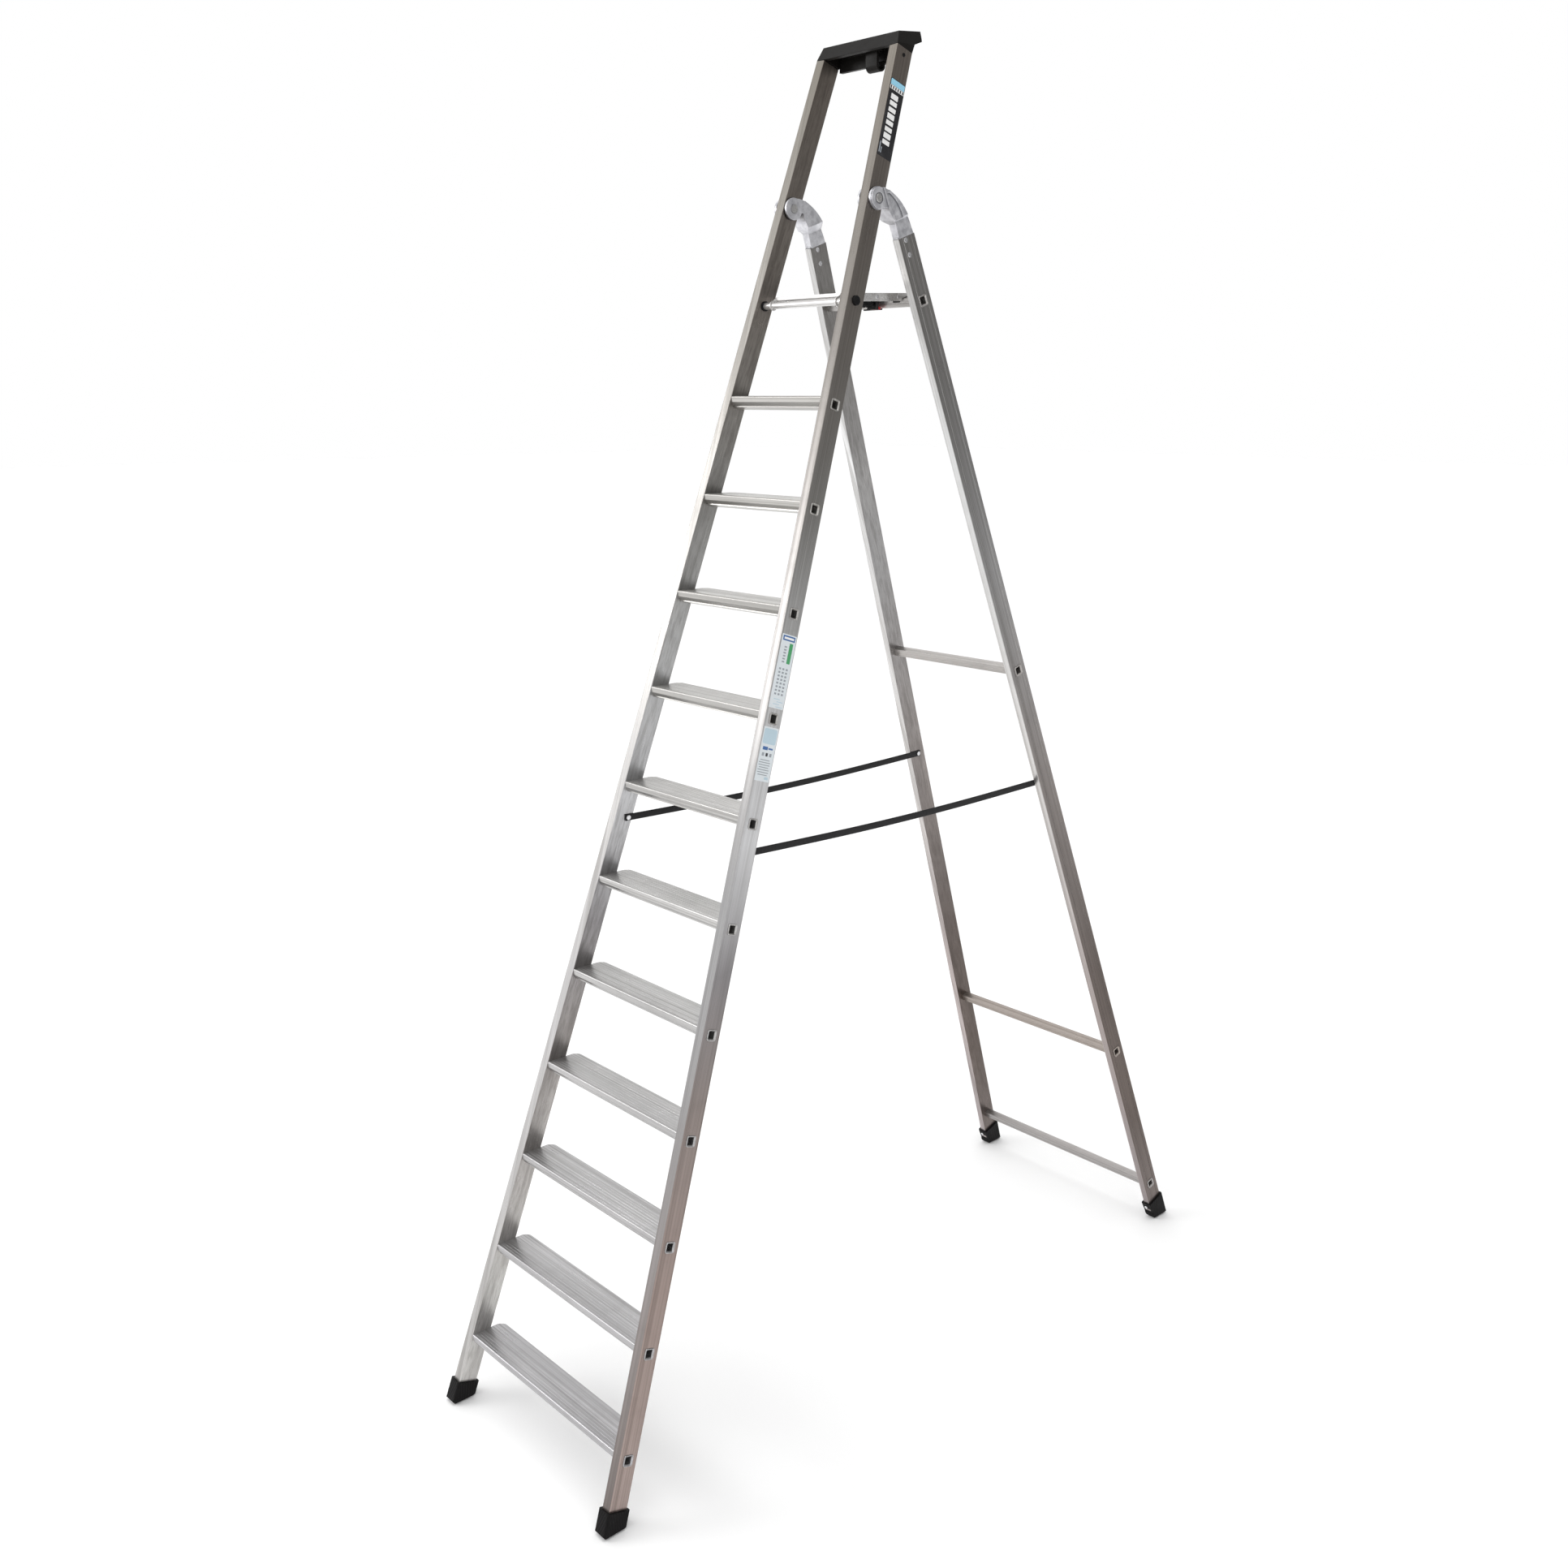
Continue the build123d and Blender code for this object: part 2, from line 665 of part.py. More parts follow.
def stile_rivet(drop):
    """A tubular rivet right through the rear stile and the hinge arm's plug."""
    outer = facing(rear, 0, -6, arm_drop - drop)
    with BuildPart() as one:
        with BuildSketch(outer):
            Circle(6)
        extrude(amount=1.6)
        fillet(one.faces().sort_by(Axis(outer.origin, outer.z_dir))[-1].edges(), 0.9)
        with BuildSketch(outer):
            Circle(3.5)
        extrude(amount=-rear_width)
        with BuildSketch(facing(rear, -rear_width, -6, arm_drop - drop, inwards=True)):
            Circle(6)
        extrude(amount=1.6)
        fillet(one.faces().sort_by(Axis(outer.origin, outer.z_dir))[0].edges(), 0.9)
    return one.part


def foot_rivet():
    spot = rear.from_local_coords((-rear_width / 2, -rear_depth / 2 - 6, -3138))
    return rivet(Plane(origin=spot, z_dir=rear.y_dir * -1), 5, 1.8, 2.4, 6 + wall + 1)


# ---------------------------------------------------------------- platform


def deck_side(x):
    return side(x, platform_y, platform_z, -platform_slope)


bar_spot = outer_point(rear, rear_spread, rear_bar_heights[0])


def bar_way(grow):
    """Outline of the rear bar and of its way out, forwards and down, about the bar's centre."""
    half = rear_tube / 2 + grow
    cos = math.cos(math.radians(rear_lean))
    sin = math.sin(math.radians(rear_lean))
    top = (half * (cos - sin), half * (cos + sin))
    ahead = (-half * (cos + sin), half * (cos - sin))
    behind = (half * (cos + sin), -half * (cos - sin))
    return [
        top,
        ahead,
        (ahead[0] - 0.6 * 40, ahead[1] - 40),
        (behind[0], ahead[1] - 40),
        behind,
    ]


def platform_side():
    with BuildPart() as plate:
        with BuildSketch(deck_side(platform_half - 3)):
            with BuildLine():
                Polyline((0, 12), (12, 20), (262, 20), (262, 6), (256, 1), (12, 1), (0, -12), close=True)
            make_face()
            Circle(12)
            Circle(tube_radius, mode=Mode.SUBTRACT)
        extrude(amount=3)
        with BuildSketch(side(platform_half - 5, bar_spot.Y, bar_spot.Z)):
            with BuildLine():
                Polyline(bar_way(1.0), close=True)
            make_face()
        extrude(amount=10, mode=Mode.SUBTRACT)
        for place in (40, 130, 205):
            with BuildSketch(deck_side(platform_half - 5)):
                with Locations((place, 11)):
                    Circle(2.5)
            extrude(amount=10, mode=Mode.SUBTRACT)
    return plate.part


def platform_deck():
    half = platform_half - 3
    with BuildPart() as deck:
        with BuildSketch(deck_side(-half)):
            with BuildLine():
                Polyline(
                    [
                        (10, 20),
                        (platform_length, 20),
                        (platform_length, 6),
                        (platform_length - 2.5, 6),
                        (platform_length - 2.5, 17.5),
                        (12.5, 17.5),
                        (12.5, 12),
                        (10, 12),
                    ],
                    close=True,
                )
            make_face()
            for place in range(60, 190, 45):
                with Locations((place, 13)):
                    Rectangle(2.2, 9)
            for groove in range(15):
                with Locations((24 + 16 * groove, 20)):
                    Rectangle(3, 1.6, mode=Mode.SUBTRACT)
        extrude(amount=2 * half)
        for turned in (-1, 1):
            with BuildSketch(deck_side(turned * half)):
                for place in (40, 130, 205):
                    with Locations((place, 12.5)):
                        Rectangle(16, 10.4)
            extrude(amount=-turned * 2.5)
            with BuildSketch(deck_side(turned * half)):
                for place in (40, 130, 205):
                    with Locations((place, 11)):
                        Circle(2.5)
            extrude(amount=-turned * 2.5, mode=Mode.SUBTRACT)
    return deck.part


def platform_tube():
    with BuildPart() as tube:
        with BuildSketch(side(-143.5, platform_y, platform_z)):
            Circle(tube_radius)
            Circle(axle_radius + running, mode=Mode.SUBTRACT)
        extrude(amount=287)
    return tube.part


def platform_rivets():
    rivets = []
    for place in (40, 130, 205):
        spot = deck_side(platform_half).from_local_coords((place, 11, 0))
        rivets.append(rivet(Plane(origin=spot, z_dir=(1, 0, 0)), 5, 1.6, 2.5, 6))
    return joined(both_sides(rivets))


def saddle(low, high, drop):
    """A moulded block under the deck that sits over the rear bar."""
    with BuildPart() as block:
        with BuildSketch(deck_side(low)):
            with Locations((236, 17.5 - (drop + 17.5) / 2)):
                Rectangle(46, drop + 17.5)
        extrude(amount=high - low)
        with BuildSketch(side(low, bar_spot.Y, bar_spot.Z)):
            with BuildLine():
                Polyline(bar_way(0.0), close=True)
            make_face()
        extrude(amount=high - low, mode=Mode.SUBTRACT)
    return block.part


def catch_body():
    """The middle saddle: curved walls wrap the bar, and two ears carry the release lever."""
    with BuildPart() as block:
        with BuildSketch(deck_side(-45)):
            with Locations((236, 5)):
                Rectangle(40, 25)
            with Locations((232, -5)):
                Circle(25)
            with Locations((236, 42.5)):
                Rectangle(100, 50, mode=Mode.SUBTRACT)
            with Locations((292, 0)):
                Rectangle(70, 100, mode=Mode.SUBTRACT)
            with Locations((232, -41)):
                Rectangle(120, 50, mode=Mode.SUBTRACT)
        extrude(amount=57)
        with BuildSketch(deck_side(-45)):
            with Locations((189.5, 5.5)):
                Rectangle(3, 24)
            with Locations((199, 15.9)):
                Rectangle(20, 3.2)
        extrude(amount=88.5)
        with BuildSketch(side(-45, bar_spot.Y, bar_spot.Z)):
            with BuildLine():
                Polyline(bar_way(0.3), close=True)
            make_face()
        extrude(amount=57, mode=Mode.SUBTRACT)
        with BuildSketch(deck_side(-45)):
            with Locations((210.5, 10)):
                Rectangle(12, 15)
        extrude(amount=57)
        with BuildSketch(deck_side(-45)):
            with Locations((209, 8)):
                Circle(2.0)
        extrude(amount=60, mode=Mode.SUBTRACT)
        for place in (-30, -15, 0):
            with BuildSketch(deck_side(place - 1.5)):
                with Locations((232, -5)):
                    Circle(26)
                    Circle(24, mode=Mode.SUBTRACT)
                with Locations((236, 42.5)):
                    Rectangle(100, 57, mode=Mode.SUBTRACT)
            extrude(amount=3, mode=Mode.SUBTRACT)
    return block.part


def catch_pin():
    with BuildPart() as shaft:
        with BuildSketch(deck_side(-42)):
            with Locations((209, 8)):
                Circle(2.0)
        extrude(amount=86)
        with BuildSketch(deck_side(42)):
            with Locations((209, 8)):
                Circle(3.4)
        extrude(amount=2)
    return shaft.part


def catch_lever():
    with BuildPart() as lever:
        with BuildSketch(deck_side(12.3)):
            with Locations((209, 8)):
                Circle(5.5)
            with BuildLine():
                Polyline(
                    [(203.5, 8), (214.5, 8), (211, -8), (220, -12), (218, -16), (200, -16)],
                    close=True,
                )
            make_face()
            with Locations((209, 8)):
                Circle(2.05, mode=Mode.SUBTRACT)
        extrude(amount=29.4)
        with BuildSketch(deck_side(18)):
            with Locations((209, 8)):
                Circle(4.6)
        extrude(amount=12, mode=Mode.SUBTRACT)
    return lever.part


def catch_spring():
    centre = deck_side(18.8).from_local_coords((209, 8, 0))
    with BuildPart() as spring:
        with BuildLine() as path:
            Helix(pitch=1.7, height=10.2, radius=3.4, center=centre, direction=(1, 0, 0))
        with BuildSketch(Plane(origin=path.line @ 0, z_dir=path.line % 0)):
            Circle(0.55)
        sweep()
    return spring.part


os.makedirs("parts", exist_ok=True)

save_pair(front_stile(), "stile_front")
for number in range(1, tread_count + 1):
    save(tread(number), "tread_%02d" % number)
front_floor = outer_point(front, front_spread, 0.0).Y
rear_floor = outer_point(rear, rear_spread, 0.0).Y
front_foot = foot(
    front, front_width, front_depth, stile_bottom, front_foot_rim, front_floor - 21.5, front_floor + 24, front_lean
)
save_pair(front_foot, "foot_front")
save(tray(), "tool_tray")
save(bucket_hook(), "bucket_hook")
save(hook_screws(), "hook_screws")
tray_rivet = rivet(facing(front, 0, 0, stile_top - 16), 4.5, 1.4, 2.5, 10)
save(joined(both_sides([tray_rivet])), "tray_rivets")
save_pair(hinge_bush(), "hinge_bush")
save_pair(platform_bush(), "platform_bush")
save(platform_axle(), "platform_axle")
save_pair(axle_cap(), "axle_cap")
save_pair(strap(), "strap")
save(joined(both_sides([strap_rivet(front, front_width, 12, -1324.5)])), "strap_rivets_front")
save(label(343, 527, 49), "name_label")
save(label(-975, -800, 47), "instruction_label_upper")
save(label(-1148, -1020, 47), "instruction_label_lower")

save_pair(rear_stile(), "stile_rear")
for place, height in zip(("platform", "upper", "middle", "lower"), rear_bar_heights):
    save(rear_bar(height), "rear_bar_" + place)
save_pair(hinge_arm(), "hinge_arm")
save_pair(hinge_pin(), "hinge_pin")
save(joined(both_sides([stile_rivet(115.3), stile_rivet(150.4)])), "hinge_rivets")
rear_foot = foot(
    rear, rear_width, rear_depth, rear_bottom, rear_foot_rim, rear_floor - 24, rear_floor + 21.5, -rear_lean
)
with BuildPart() as rear_foot_holed:
    add(rear_foot)
    with BuildSketch(Plane(origin=rear.from_local_coords((-rear_width / 2, -60, -3138)), z_dir=rear.y_dir)):
        Circle(2.4)
    extrude(amount=40, mode=Mode.SUBTRACT)
save_pair(rear_foot_holed.part, "foot_rear")
save(joined(both_sides([foot_rivet()])), "foot_rear_rivets")
seat_up = (1508.0 - rear.origin.Z) / rear.z_dir.Z
save(joined(both_sides([strap_rivet(rear, rear_width, 0, seat_up)])), "strap_rivets_rear")

save(platform_tube(), "platform_tube")
save(platform_deck(), "platform_deck")
save_pair(platform_side(), "platform_side")
save(platform_rivets(), "platform_rivets")
save_pair(saddle(90.0, 113.9, 8.0), "platform_hook")
save(catch_body(), "platform_catch")
save(catch_pin(), "catch_pin")
save(catch_lever(), "catch_lever")
save(catch_spring(), "catch_spring")
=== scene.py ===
import math

import bmesh
import bpy
from mathutils import Matrix, Vector


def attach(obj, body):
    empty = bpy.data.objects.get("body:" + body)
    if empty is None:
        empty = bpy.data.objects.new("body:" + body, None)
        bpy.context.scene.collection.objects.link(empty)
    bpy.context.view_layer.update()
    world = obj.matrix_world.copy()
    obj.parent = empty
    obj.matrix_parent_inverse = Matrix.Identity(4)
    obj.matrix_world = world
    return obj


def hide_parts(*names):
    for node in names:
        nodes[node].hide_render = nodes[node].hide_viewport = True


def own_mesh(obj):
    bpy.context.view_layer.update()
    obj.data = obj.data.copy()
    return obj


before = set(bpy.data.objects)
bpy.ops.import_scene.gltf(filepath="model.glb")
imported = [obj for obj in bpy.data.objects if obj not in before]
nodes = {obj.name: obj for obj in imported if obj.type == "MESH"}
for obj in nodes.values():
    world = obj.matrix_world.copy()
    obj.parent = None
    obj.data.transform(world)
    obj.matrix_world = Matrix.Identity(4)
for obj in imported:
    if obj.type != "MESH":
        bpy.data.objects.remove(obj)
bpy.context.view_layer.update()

# The right stiles in the row frame: up each one, and for the front one also out through its face.
FRONT_UP = Vector((-0.05924, 0.31328, 0.94781))
FRONT_OUT = Vector((0.99824, 0.01859, 0.05625))
REAR_UP = Vector((-0.06159, -0.33875, 0.93886))
FRONT_AT = Vector((0.1739, -0.16106, 2.77))  # on the outer face, level with the platform axle
TALL = 3.4  # metres: the height that the tone ramps run up to


# ------------------------------------------------------------------ materials


class Nodes:
    """Short names for building a node tree."""

    def __init__(self, name):
        self.mat = bpy.data.materials.new(name)
        self.mat.use_nodes = True
        self.tree = self.mat.node_tree
        self.tree.nodes.clear()
        self.out = self.tree.nodes.new("ShaderNodeOutputMaterial")
        self.bsdf = self.tree.nodes.new("ShaderNodeBsdfPrincipled")
        self.link(self.bsdf.outputs[0], self.out.inputs[0])
        self.where = self.tree.nodes.new("ShaderNodeTexCoord").outputs["Object"]

    def link(self, a, b):
        self.tree.links.new(a, b)

    def put(self, socket, value):
        if hasattr(value, "is_output"):
            self.link(value, socket)
        elif value is not None:
            socket.default_value = value

    def mapped(self, rotation=(0, 0, 0), scale=(1, 1, 1), source=None):
        node = self.tree.nodes.new("ShaderNodeMapping")
        node.inputs["Rotation"].default_value = rotation
        node.inputs["Scale"].default_value = scale
        self.link(source or self.where, node.inputs["Vector"])
        return node.outputs[0]

    def noise(self, vector, scale, detail=3.0, rough=0.55, distortion=0.0):
        node = self.tree.nodes.new("ShaderNodeTexNoise")
        self.link(vector, node.inputs["Vector"])
        node.inputs["Scale"].default_value = scale
        node.inputs["Detail"].default_value = detail
        node.inputs["Roughness"].default_value = rough
        node.inputs["Distortion"].default_value = distortion
        return node.outputs["Fac"]

    def voronoi(self, vector, scale):
        node = self.tree.nodes.new("ShaderNodeTexVoronoi")
        self.link(vector, node.inputs["Vector"])
        node.inputs["Scale"].default_value = scale
        return node.outputs["Distance"]

    def wave(self, vector, scale, axis="X", distortion=0.0):
        node = self.tree.nodes.new("ShaderNodeTexWave")
        node.bands_direction = axis
        self.link(vector, node.inputs["Vector"])
        node.inputs["Scale"].default_value = scale
        node.inputs["Distortion"].default_value = distortion
        return node.outputs["Fac"]

    def ramp(self, fac, stops):
        node = self.tree.nodes.new("ShaderNodeValToRGB")
        self.link(fac, node.inputs[0])
        band = node.color_ramp
        while len(band.elements) < len(stops):
            band.elements.new(0.5)
        for element, (at, colour) in zip(band.elements, stops):
            element.position = at
            element.color = (*colour, 1) if len(colour) == 3 else colour
        return node.outputs[0]

    def grey(self, fac, low, high, start=0.0, end=1.0):
        node = self.tree.nodes.new("ShaderNodeMapRange")
        self.link(fac, node.inputs[0])
        for i, value in enumerate((start, end, low, high)):
            node.inputs[1 + i].default_value = value
        return node.outputs[0]

    def mix(self, fac, a, b, mode="MIX"):
        node = self.tree.nodes.new("ShaderNodeMix")
        node.data_type = "RGBA"
        node.blend_type = mode
        self.put(node.inputs[0], fac)
        self.put(node.inputs[6], a)
        self.put(node.inputs[7], b)
        return node.outputs[2]

    def maths(self, op, a, b=None):
        node = self.tree.nodes.new("ShaderNodeMath")
        node.operation = op
        self.put(node.inputs[0], a)
        self.put(node.inputs[1], b)
        return node.outputs[0]

    def split(self, pattern):
        """The X, Y and Z of a vector."""
        node = self.tree.nodes.new("ShaderNodeSeparateXYZ")
        self.link(pattern, node.inputs[0])
        return node.outputs

    def bump(self, fac, strength, distance, normal=None):
        node = self.tree.nodes.new("ShaderNodeBump")
        node.inputs["Strength"].default_value = strength
        node.inputs["Distance"].default_value = distance
        self.link(fac, node.inputs["Height"])
        if normal is not None:
            self.link(normal, node.inputs["Normal"])
        return node.outputs[0]

    def edge(self, radius):
        node = self.tree.nodes.new("ShaderNodeBevel")
        node.samples = 4
        node.inputs[0].default_value = radius
        return node.outputs[0]

    def done(self, colour, metal, rough, normal=None, **others):
        self.put(self.bsdf.inputs["Base Color"], colour)
        self.put(self.bsdf.inputs["Metallic"], metal)
        self.put(self.bsdf.inputs["Roughness"], rough)
        if normal is not None:
            self.link(normal, self.bsdf.inputs["Normal"])
        for name, value in others.items():
            self.put(self.bsdf.inputs[name.replace("_", " ")], value)
        return self.mat


def turned(up, across):
    """Euler angles that bring row coordinates into a member's own: X out, Y across, Z along."""
    out = across.cross(up).normalized()
    turn = Matrix((out, up.cross(out), up))
    return turn.to_euler("XYZ")


def extrusion(name, tones_and_reflections, along, narrow_face_light_and_shade=None, metal=0.86, rough=(0.26, 0.38), grain=1.0):
    """Mill-finish aluminium section: colour by height in metres, partly the alloy's own tone and partly
    painted reflection of the studio, with die lines and streaks along the member.

    The slim climbing-side face can take a colour table of its own, picked by the face normal: painted
    light and shade for that face.
    """
    n = Nodes(name)
    own = n.mapped(rotation=along)
    fine = n.noise(n.mapped(source=own, scale=(1100, 1100, 4)), 1.0, 3, 0.6)
    band = n.noise(n.mapped(source=own, scale=(230, 230, 0.5)), 1.0, 3, 0.55)
    tone = n.noise(n.mapped(source=own, scale=(16, 16, 1.6)), 1.0, 3, 0.5, 0.4)
    stain = n.noise(own, 11.0, 5, 0.6, 0.6)
    broad = n.noise(n.mapped(source=own, scale=(70, 70, 0.6)), 1.0, 2, 0.5)
    level = n.grey(n.split(n.where)[2], 0.0, 1.0, 0.0, TALL)
    # Colour by height: the alloy's tone with painted reflections of the studio, as lighter and darker
    # bands up the member.
    base = n.ramp(level, [(z / TALL, colour) for z, colour in tones_and_reflections])
    # Painted light and shade: faces turned to the front (-Y) take their own colour table, lighter or
    # darker than the sides.
    if narrow_face_light_and_shade:
        way = n.tree.nodes.new("ShaderNodeTexCoord").outputs["Normal"]
        face = n.grey(n.split(way)[1], 1.0, 0.0, -0.85, -0.55)
        base = n.mix(face, base, n.ramp(level, [(z / TALL, colour) for z, colour in narrow_face_light_and_shade]))
    light = n.mix(1.0, base, (1.3, 1.3, 1.3, 1), "MULTIPLY")
    dark = n.mix(1.0, base, (0.72, 0.71, 0.7, 1), "MULTIPLY")
    base = n.mix(n.grey(tone, 0.0, 0.85, 0.4, 0.7), base, light)
    base = n.mix(n.grey(band, 0.0, 0.85, 0.45, 0.72), base, dark)
    base = n.mix(n.grey(broad, 0.0, 0.75, 0.52, 0.66), base, dark)
    base = n.mix(n.grey(fine, 0.0, 0.4, 0.45, 0.8), base, light)
    base = n.mix(n.grey(stain, 0.0, 0.3, 0.55, 0.8), base, dark)
    bumps = n.maths("ADD", n.maths("MULTIPLY", fine, 0.5), n.maths("MULTIPLY", band, 0.6))
    scratches = n.voronoi(n.mapped(source=own, scale=(300, 300, 16)), 1.0)
    bumps = n.maths("ADD", bumps, n.grey(scratches, -0.3, 0.0, 0.0, 0.07))
    worn = n.grey(n.maths("ADD", band, stain), rough[0], rough[1], 0.7, 1.3)
    normal = n.bump(bumps, 0.22 * grain, 0.0003, n.edge(0.0009))
    return n.done(base, metal, worn, normal)


FRONT_ALONG = turned(FRONT_UP, Vector((0, 0.94948, -0.31383)))
REAR_ALONG = turned(REAR_UP, Vector((0, 0.94065, 0.33939)))
ACROSS = (0, math.radians(90), 0)

# The first table of each stile is painted reflection by height: a bright band where the studio's bright
# side mirrors, darker towards the top and bottom. The second is painted light and shade for the front
# faces.
stile_metal = extrusion(
    "stile_front_right",
    [
        (0.0, (0.33, 0.266, 0.245)),
        (0.55, (0.305, 0.242, 0.22)),
        (0.95, (0.24, 0.206, 0.193)),
        (1.25, (0.24, 0.23, 0.235)),
        (1.55, (0.6, 0.6, 0.61)),
        (1.9, (0.42, 0.42, 0.42)),
        (2.3, (0.23, 0.223, 0.212)),
        (2.75, (0.21, 0.19, 0.172)),
        (TALL, (0.185, 0.16, 0.14)),
    ],
    FRONT_ALONG,
    [
        (0.0, (0.15, 0.128, 0.12)),
        (0.5, (0.26, 0.235, 0.228)),
        (1.0, (0.34, 0.333, 0.335)),
        (1.4, (0.31, 0.308, 0.312)),
        (1.85, (0.3, 0.292, 0.288)),
        (2.3, (0.24, 0.228, 0.22)),
        (TALL, (0.235, 0.213, 0.185)),
    ],
)
# The left stile has painted reflections of its own, lightened low down where the treads cast shade on
# it.
far_stile_metal = extrusion(
    "stile_front_left",
    [
        (0.0, (0.56, 0.545, 0.53)),
        (0.3, (0.6, 0.59, 0.57)),
        (0.55, (0.46, 0.44, 0.425)),
        (0.95, (0.3, 0.28, 0.27)),
        (1.25, (0.25, 0.24, 0.245)),
        (1.55, (0.5, 0.5, 0.51)),
        (1.9, (0.42, 0.42, 0.42)),
        (2.3, (0.22, 0.215, 0.205)),
        (2.75, (0.19, 0.172, 0.155)),
        (TALL, (0.155, 0.133, 0.115)),
    ],
    FRONT_ALONG,
    [
        (0.0, (0.42, 0.41, 0.4)),
        (1.0, (0.52, 0.51, 0.51)),
        (1.85, (0.45, 0.44, 0.43)),
        (TALL, (0.25, 0.23, 0.2)),
    ],
)
# Rear stiles: painted reflection by height, and their front faces painted lighter.
rear_metal = extrusion(
    "stile_rear",
    [
        (0.0, (0.2, 0.17, 0.16)),
        (0.4, (0.125, 0.1, 0.088)),
        (0.9, (0.13, 0.107, 0.097)),
        (1.5, (0.25, 0.227, 0.217)),
        (2.1, (0.34, 0.335, 0.335)),
        (2.6, (0.27, 0.262, 0.255)),
        (TALL, (0.22, 0.208, 0.195)),
    ],
    REAR_ALONG,
    [
        (0.0, (0.36, 0.32, 0.32)),
        (0.8, (0.42, 0.37, 0.36)),
        (1.5, (0.56, 0.545, 0.535)),
        (2.4, (0.62, 0.62, 0.62)),
        (TALL, (0.52, 0.51, 0.5)),
    ],
)
# Treads, platform and rear bars take the same height ramp, kept nearly even; on the rear bars it paints
# a slight reflection band.
tread_metal = extrusion(
    "tread",
    [
        (0.0, (0.42, 0.413, 0.425)),
        (1.2, (0.43, 0.425, 0.42)),
        (2.2, (0.43, 0.42, 0.4)),
        (TALL, (0.4, 0.39, 0.38)),
    ],
    ACROSS,
    grain=0.5,
)
deck_metal = extrusion(
    "platform", [(0.0, (0.6, 0.6, 0.6)), (TALL, (0.68, 0.67, 0.66))], ACROSS, grain=0.4
)
bar_metal = extrusion(
    "rear_bar",
    [
        (0.0, (0.38, 0.37, 0.37)),
        (0.6, (0.38, 0.335, 0.305)),
        (1.8, (0.43, 0.41, 0.395)),
        (TALL, (0.42, 0.41, 0.4)),
    ],
    ACROSS,
    grain=0.6,
)


def casting():
    n = Nodes("hinge_casting")
    coarse = n.noise(n.where, 60, 4, 0.6)
    sand = n.noise(n.where, 900, 3, 0.7)
    pits = n.voronoi(n.where, 420)
    base = n.ramp(coarse, [(0.3, (0.53, 0.53, 0.56)), (0.7, (0.83, 0.83, 0.86))])
    base = n.mix(n.grey(sand, 0.0, 0.35, 0.4, 0.8), base, (0.2, 0.2, 0.215, 1))
    # Painted shade: the colour darkens to near black in creases and recesses, found by ambient
    # occlusion.
    recess_shade = n.tree.nodes.new("ShaderNodeAmbientOcclusion")
    recess_shade.samples = 8
    recess_shade.inputs["Distance"].default_value = 0.016
    base = n.mix(n.grey(recess_shade.outputs["AO"], 0.9, 0.0, 0.45, 0.97), base, (0.07, 0.07, 0.08, 1))
    relief = n.maths("ADD", sand, n.grey(pits, -0.6, 0.0, 0.0, 0.2))
    normal = n.bump(relief, 0.45, 0.0005, n.edge(0.0022))
    return n.done(base, 0.88, n.grey(coarse, 0.28, 0.42, 0.3, 0.7), normal)


def steel(name, tone, rough, grain=500):
    n = Nodes(name)
    fine = n.noise(n.where, grain, 3, 0.6)
    spots = n.noise(n.where, 90, 4, 0.6)
    base = n.ramp(spots, [(0.35, tuple(c * 0.7 for c in tone)), (0.65, tone)])
    normal = n.bump(fine, 0.2, 0.0003, n.edge(0.0006))
    return n.done(base, 0.95, n.grey(fine, rough * 0.8, rough * 1.3, 0.3, 0.7), normal)


def plastic(name, tone, worn, rough=0.42, ribs=0.0, gloss=0.22):
    """Moulded plastic with a fine grain, paler worn patches, a little dust and perhaps upright ribs."""
    n = Nodes(name)
    grain = n.voronoi(n.where, 1500)
    cloud = n.noise(n.where, 24, 5, 0.6)
    dust = n.noise(n.where, 160, 4, 0.7)
    base = n.mix(n.grey(cloud, 0.0, 0.5, 0.35, 0.8), (*tone, 1), (*worn, 1))
    base = n.mix(n.grey(dust, 0.0, 0.2, 0.6, 0.85), base, (*[min(1, c * 1.8 + 0.006) for c in worn], 1))
    normal = n.bump(grain, 0.3, 0.0002, n.edge(0.0016))
    if ribs:
        across = n.mapped(rotation=(0, 0, math.radians(45)))
        lines = n.wave(across, ribs, "X")
        normal = n.bump(n.ramp(lines, [(0.35, (0, 0, 0)), (0.65, (1, 1, 1))]), 0.55, 0.0012, normal)
    rough = n.grey(cloud, rough - 0.08, rough + 0.14, 0.3, 0.7)
    return n.done(base, 0.0, rough, normal, Specular_IOR_Level=gloss)


def webbing():
    """Woven strap: ribs across it, a herringbone of warp threads along it."""
    n = Nodes("webbing")
    own = n.mapped(rotation=(0, 0, math.radians(0.57)))
    ribs = n.wave(own, 95, "Y", 0.6)
    warp = n.wave(own, 170, "Z", 0.4)
    fuzz = n.noise(n.where, 1800, 3, 0.7)
    weave = n.maths("MULTIPLY", ribs, warp)
    base = n.ramp(weave, [(0.0, (0.006, 0.006, 0.007)), (1.0, (0.035, 0.034, 0.035))])
    base = n.mix(n.grey(fuzz, 0.0, 0.4, 0.5, 0.8), base, (0.06, 0.06, 0.062, 1))
    normal = n.bump(n.maths("ADD", weave, n.maths("MULTIPLY", fuzz, 0.3)), 0.8, 0.0006)
    return n.done(base, 0.0, 0.72, normal, Sheen_Weight=0.1, Specular_IOR_Level=0.2)


